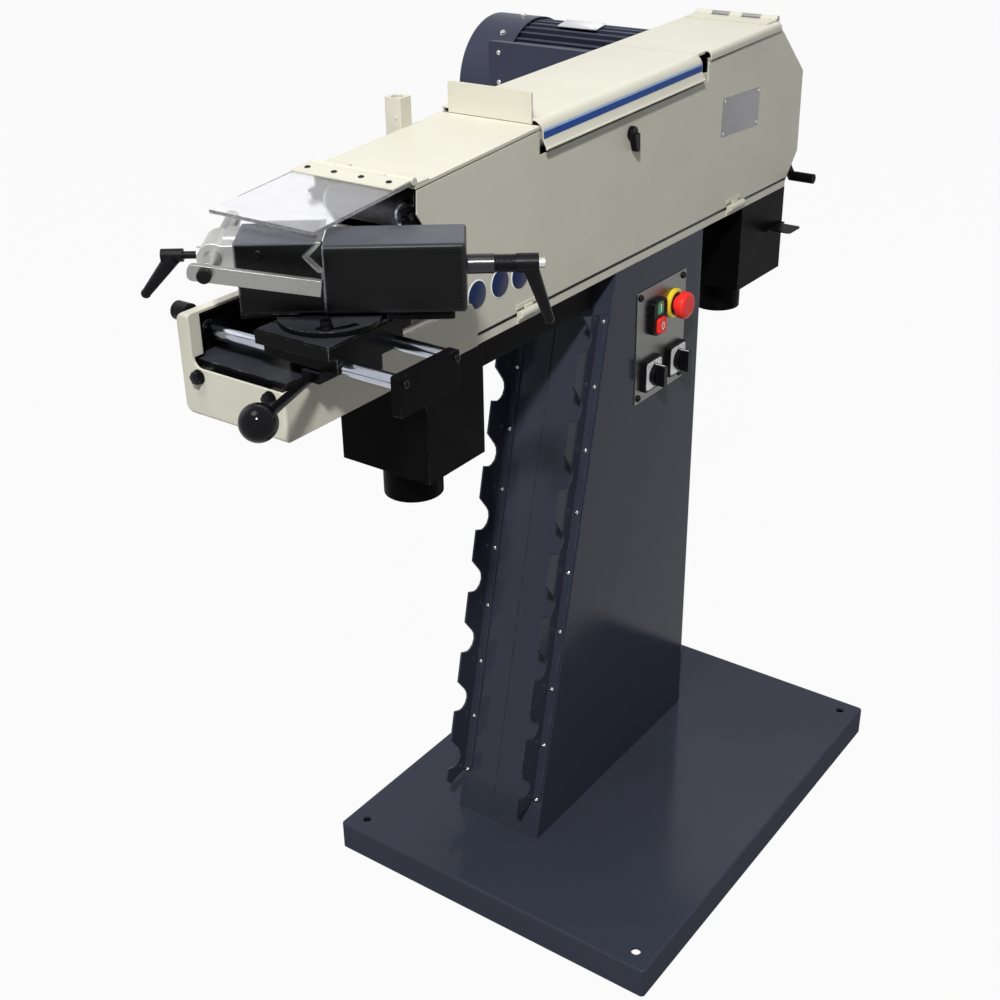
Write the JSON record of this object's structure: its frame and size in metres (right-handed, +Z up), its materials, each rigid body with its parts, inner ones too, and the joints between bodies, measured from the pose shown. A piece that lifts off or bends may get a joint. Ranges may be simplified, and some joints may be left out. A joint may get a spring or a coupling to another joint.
{
  "type": "pedestal belt grinder for tube ends",
  "caption": "Pedestal belt grinder for tube ends: sloping sheet column, long belt head with motor, swivelling tube vise on cross bars, dust hoppers and hook racks",
  "frame": {"origin": "centre of the base on the floor", "axes": "X to the right seen from the vise end, Y along the head to the rear, Z up"},
  "size_m": [0.76, 1.351, 1.197],
  "materials": {
    "stand": "semi-gloss blue-grey powder coat",
    "cream": "fine textured ivory paint",
    "black": "satin black paint",
    "motor": "dark blue-grey paint",
    "cowl": "dark blue-grey paint",
    "steel": "ground steel",
    "chrome": "polished chrome",
    "plate": "brushed stainless",
    "wheel": "turned aluminium",
    "zinc": "silver paint on a casting",
    "belt": "blue-grey abrasive grain",
    "clear": "clear polycarbonate",
    "plastic": "black plastic",
    "yellow": "yellow plastic",
    "red": "red plastic",
    "green": "green plastic"
  },
  "bodies": {
    "frame": {"base_tray": "stand", "column": "stand", "hook_racks": "stand", "control_plate": "plate", "pushbutton_box": "plastic", "estop_collar": "yellow", "selector_bases": "plastic", "head_casing": "cream", "front_cover": "cream", "side_plates": "black", "roller_axle": "steel", "abrasive_belt": "belt", "platen": "steel", "motor_housing": "motor", "motor_shields": "motor", "fan_cowl": "cowl", "terminal_box": "cowl", "hopper_front": "black", "hopper_rear": "black", "door_hinge_lower": "cream", "lid_hinge_fixed": "cream", "shield_hinge_fixed": "cream", "trough": "cream", "guide_rods": "steel"},
    "drive": {"drive_wheel": "wheel", "motor_rotor": "steel", "motor_fan": "plastic", "wheel_bolt": "steel"},
    "contact_roller": {"contact_roller": "steel"},
    "side_door": {"side_door": "cream", "door_hinge_upper": "cream"},
    "latch": {"latch_knob": "plastic"},
    "lid": {"top_lid": "cream", "lid_hinge_leaf": "cream"},
    "shield": {"spark_shield": "clear", "shield_leaf": "cream"},
    "tension_lever": {"tension_lever": "black"},
    "lock_knob": {"lock_knob": "plastic"},
    "carriage": {"saddle": "black", "cross_bars": "chrome", "end_plate": "black"},
    "slide": {"slide_block": "black", "feed_handle": "plastic", "swivel_bolt": "steel"},
    "swivel": {"vise_bed": "black", "fixed_jaw": "black", "v_insert": "steel", "stop_clamp_block": "zinc"},
    "moving_jaw": {"moving_jaw": "black"},
    "clamp": {"clamp_screw": "steel", "clamp_lever": "black"},
    "stop_rod": {"stop_rod": "steel"},
    "stop_bar": {"stop_bar": "steel"},
    "stop_lever": {"stop_lever": "plastic"},
    "start_button": {"start_button": "green"},
    "stop_button": {"stop_button": "red"},
    "estop": {"estop_mushroom": "red"},
    "selector_front": {"selector_knob_front": "plastic"},
    "selector_rear": {"selector_knob_rear": "plastic"},
    "damper": {"damper_slide": "black"}
  },
  "joints": [
    {"name": "drive_spin", "type": "hinge", "parent": "frame", "child": "drive", "pos_m": [0, 0.35, 1.068], "axis": [1, 0, 0], "continuous": true},
    {"name": "roller_spin", "type": "hinge", "parent": "frame", "child": "contact_roller", "pos_m": [0, -0.47, 1.106], "axis": [1, 0, 0], "continuous": true},
    {"name": "door_hinge", "type": "hinge", "parent": "frame", "child": "side_door", "pos_m": [0.007, 0, 0.932], "axis": [0, 1, 0], "range_deg": [0, 100]},
    {"name": "latch_turn", "type": "hinge", "parent": "side_door", "child": "latch", "pos_m": [0, -0.007, 1.106], "axis": [1, 0, 0], "range_deg": [0, 90]},
    {"name": "lid_hinge", "type": "hinge", "parent": "frame", "child": "lid", "pos_m": [0, 0.4385, 1.19], "axis": [-1, 0, 0], "range_deg": [0, 105]},
    {"name": "shield_hinge", "type": "hinge", "parent": "frame", "child": "shield", "pos_m": [0, -0.468, 1.145], "axis": [-1, 0, 0], "range_deg": [0, 100]},
    {"name": "tension_turn", "type": "hinge", "parent": "frame", "child": "tension_lever", "pos_m": [0, 0.48, 0.985], "axis": [1, 0, 0], "range_deg": [-8, 12]},
    {"name": "lock_turn", "type": "hinge", "parent": "frame", "child": "lock_knob", "pos_m": [-0.15, -0.677, 1.026], "axis": [-1, 0, 0], "range_deg": [0, 180]},
    {"name": "feed", "type": "slide", "parent": "frame", "child": "carriage", "axis": [0, 1, 0], "range_m": [0, 0.06]},
    {"name": "cross_slide", "type": "slide", "parent": "carriage", "child": "slide", "axis": [1, 0, 0], "range_m": [-0.05, 0.06]},
    {"name": "vise_swivel", "type": "hinge", "parent": "slide", "child": "swivel", "pos_m": [0.005, -0.622, 1.034], "axis": [0, 0, 1], "range_deg": [-36.5, 8]},
    {"name": "jaw_slide", "type": "slide", "parent": "swivel", "child": "moving_jaw", "axis": [0.8039, 0.5948, 0], "range_m": [0, 0.05]},
    {"name": "clamp_turn", "type": "hinge", "parent": "moving_jaw", "child": "clamp", "pos_m": [-0.008, -0.606, 1.085], "axis": [0.8039, 0.5948, 0], "range_deg": [0, 1130]},
    {"name": "stop_slide", "type": "slide", "parent": "swivel", "child": "stop_rod", "axis": [-0.5948, 0.8039, 0], "range_m": [-0.05, 0.03]},
    {"name": "stop_swing", "type": "hinge", "parent": "stop_rod", "child": "stop_bar", "pos_m": [-0.09964, -0.67381, 1.106], "axis": [-0.5948, 0.8039, 0], "range_deg": [-95, 5]},
    {"name": "stop_lock", "type": "hinge", "parent": "swivel", "child": "stop_lever", "pos_m": [-0.09488, -0.68024, 1.103], "axis": [0.8039, 0.5948, 0], "range_deg": [-60, 60]},
    {"name": "start_press", "type": "slide", "parent": "frame", "child": "start_button", "axis": [-1, 0, 0], "range_m": [0, 0.002], "stiffness_N_per_m": 700},
    {"name": "stop_press", "type": "slide", "parent": "frame", "child": "stop_button", "axis": [-1, 0, 0], "range_m": [0, 0.002], "stiffness_N_per_m": 700},
    {"name": "estop_press", "type": "slide", "parent": "frame", "child": "estop", "axis": [-1, 0, 0], "range_m": [0, 0.004]},
    {"name": "selector_front_turn", "type": "hinge", "parent": "frame", "child": "selector_front", "pos_m": [0, 0.064, 0.735], "axis": [1, 0, 0], "range_deg": [-45, 45]},
    {"name": "selector_rear_turn", "type": "hinge", "parent": "frame", "child": "selector_rear", "pos_m": [0, 0.136, 0.735], "axis": [1, 0, 0], "range_deg": [-45, 45]},
    {"name": "damper_pull", "type": "slide", "parent": "frame", "child": "damper", "axis": [1, 0, 0], "range_m": [0, 0.06]}
  ],
  "couplings": [
    {"joint": "roller_spin", "follows": "drive_spin", "ratio": 6.7857},
    {"joint": "clamp_turn", "follows": "jaw_slide", "rad_per_m": 392.7}
  ]
}
